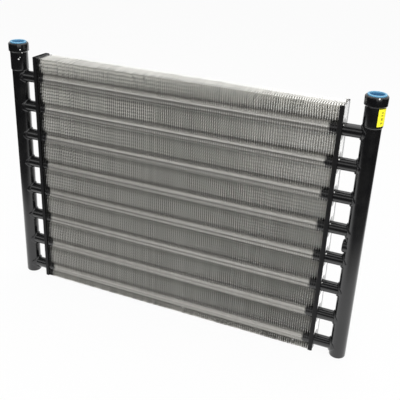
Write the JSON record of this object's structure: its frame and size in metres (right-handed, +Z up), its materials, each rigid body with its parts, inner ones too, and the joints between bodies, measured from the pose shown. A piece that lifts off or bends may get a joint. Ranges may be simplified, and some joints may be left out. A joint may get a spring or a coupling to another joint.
{
  "type": "oil cooler",
  "caption": "Ladder oil cooler: level round tubes between two upright header pipes, with a pack of thin fins between folded end plates and plugged ports on top.",
  "frame": {"origin": "on the ground, midway between the two headers' feet, in the plane of the tubes' axes", "axes": "+X from the left header to the right header, +Y towards the back, +Z up along the headers"},
  "size_m": [0.6304, 0.0436, 0.4405],
  "materials": {
    "pipe_paint": "gloss black",
    "plate_paint": "gloss black over thin sheet",
    "fins": "plain rolled sheet",
    "plug_plastic": "moulded blue",
    "label_film": "yellow film"
  },
  "bodies": {
    "root": {"left_header_pipe": "pipe_paint", "right_header_pipe": "pipe_paint", "port_bodies": "pipe_paint", "port_welds": "pipe_paint", "foot_caps": "pipe_paint", "side_boss": "pipe_paint", "cooling_tube_1": "pipe_paint", "cooling_tube_2": "pipe_paint", "cooling_tube_3": "pipe_paint", "cooling_tube_4": "pipe_paint", "cooling_tube_5": "pipe_paint", "cooling_tube_6": "pipe_paint", "cooling_tube_7": "pipe_paint", "cooling_tube_8": "pipe_paint", "left_end_plate": "plate_paint", "right_end_plate": "plate_paint", "fin_stack": "fins", "port_plugs": "plug_plastic", "port_label": "label_film"}
  },
  "joints": []
}
